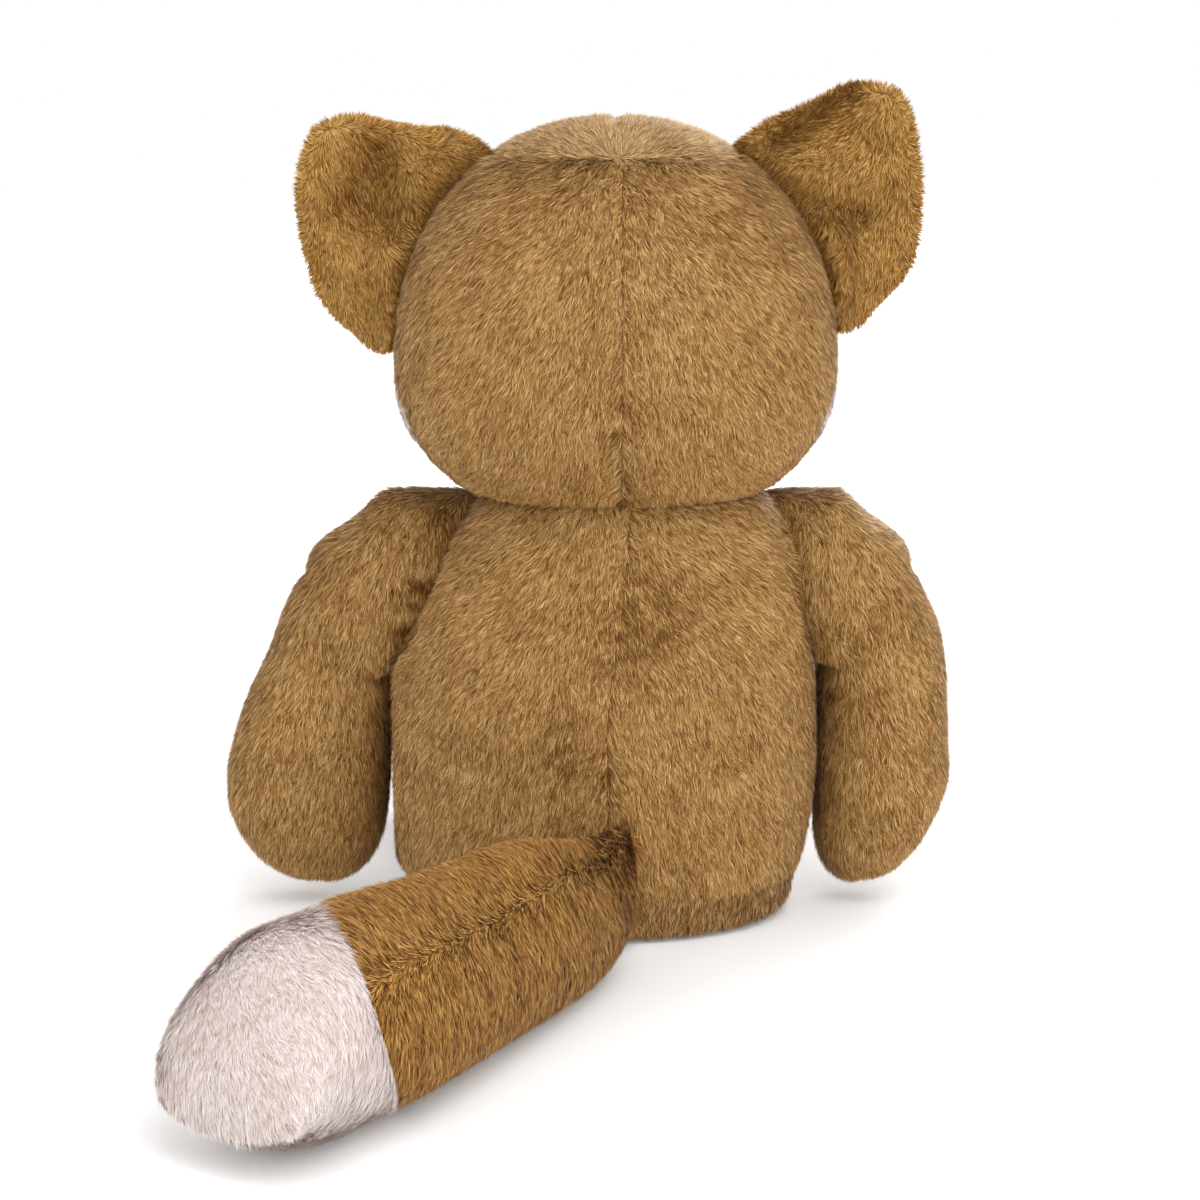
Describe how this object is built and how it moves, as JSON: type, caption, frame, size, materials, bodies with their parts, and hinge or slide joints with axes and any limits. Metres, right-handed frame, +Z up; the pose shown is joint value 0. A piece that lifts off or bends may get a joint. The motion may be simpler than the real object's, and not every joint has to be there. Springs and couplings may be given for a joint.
{
  "type": "plush fox",
  "caption": "Sewn, stuffed toy fox that sits upright, with turning head, swinging arms, folding legs, floppy ears and a thick swinging tail.",
  "frame": {"origin": "middle of the flat seat, on the surface that the toy sits on", "axes": "+Z up, -Y towards the toy's face, +Y out of its back, +X towards the toy's own left"},
  "size_m": [0.3311, 0.5351, 0.3711],
  "materials": {
    "fawn_pile": "matte",
    "dark_pile": "matte",
    "light_pile": "matte",
    "cream_pile": "matte",
    "stuffing": "matte",
    "pellet_cloth": "matte",
    "nose_flock": "matte",
    "eye_plastic": "gloss",
    "washer_plastic": "satin"
  },
  "bodies": {
    "torso": {"back_left_panel": "fawn_pile", "back_right_panel": "fawn_pile", "belly_panel": "cream_pile", "seat_panel": "dark_pile", "torso_filling": "stuffing", "pellet_pouch": "pellet_cloth"},
    "head": {"head_back_left": "fawn_pile", "head_back_right": "fawn_pile", "forehead_left": "light_pile", "forehead_right": "light_pile", "cheek_left": "cream_pile", "cheek_right": "cream_pile", "head_filling": "stuffing", "muzzle": "cream_pile", "nose": "nose_flock", "eye_left": "eye_plastic", "eye_right": "eye_plastic", "eye_washer_left": "washer_plastic", "eye_washer_right": "washer_plastic"},
    "ear_left": {"ear_back_left": "fawn_pile", "ear_lining_left": "cream_pile"},
    "ear_right": {"ear_back_right": "fawn_pile", "ear_lining_right": "cream_pile"},
    "arm_left": {"arm_sleeve_left": "fawn_pile", "arm_filling_left": "stuffing"},
    "arm_right": {"arm_sleeve_right": "fawn_pile", "arm_filling_right": "stuffing"},
    "leg_left": {"leg_sleeve_left": "fawn_pile", "leg_filling_left": "stuffing", "foot_pad_left": "cream_pile"},
    "leg_right": {"leg_sleeve_right": "fawn_pile", "leg_filling_right": "stuffing", "foot_pad_right": "cream_pile"},
    "tail": {"tail_sleeve": "dark_pile", "tail_tip": "cream_pile", "tail_filling": "stuffing"}
  },
  "joints": [
    {"name": "neck_turn", "type": "hinge", "parent": "torso", "child": "head", "pos_m": [-0.007, -0.006, 0.19], "axis": [0, 0, 1], "range_deg": [-30, 30]},
    {"name": "shoulder_left", "type": "hinge", "parent": "torso", "child": "arm_left", "pos_m": [0.092, -0.012, 0.153], "axis": [-1, 0, 0], "range_deg": [-30, 80]},
    {"name": "shoulder_right", "type": "hinge", "parent": "torso", "child": "arm_right", "pos_m": [-0.104, -0.012, 0.155], "axis": [-1, 0, 0], "range_deg": [-30, 80]},
    {"name": "hip_left", "type": "hinge", "parent": "torso", "child": "leg_left", "pos_m": [0.044, -0.07105, 0.021], "axis": [-0.9713, -0.2377, 0], "range_deg": [0, 40]},
    {"name": "hip_right", "type": "hinge", "parent": "torso", "child": "leg_right", "pos_m": [-0.044, -0.07105, 0.021], "axis": [-0.9713, 0.2377, 0], "range_deg": [0, 40]},
    {"name": "tail_swing", "type": "hinge", "parent": "torso", "child": "tail", "pos_m": [-0.013, 0.08178, 0.034], "axis": [0, 0, 1], "range_deg": [-25, 80]},
    {"name": "ear_flop_left", "type": "hinge", "parent": "head", "child": "ear_left", "pos_m": [0.08109, -0.006, 0.31007], "axis": [0.4591, 0, -0.8884], "range_deg": [-20, 20]},
    {"name": "ear_flop_right", "type": "hinge", "parent": "head", "child": "ear_right", "pos_m": [-0.09247, -0.006, 0.31451], "axis": [-0.5064, 0, -0.8623], "range_deg": [-20, 20]}
  ]
}
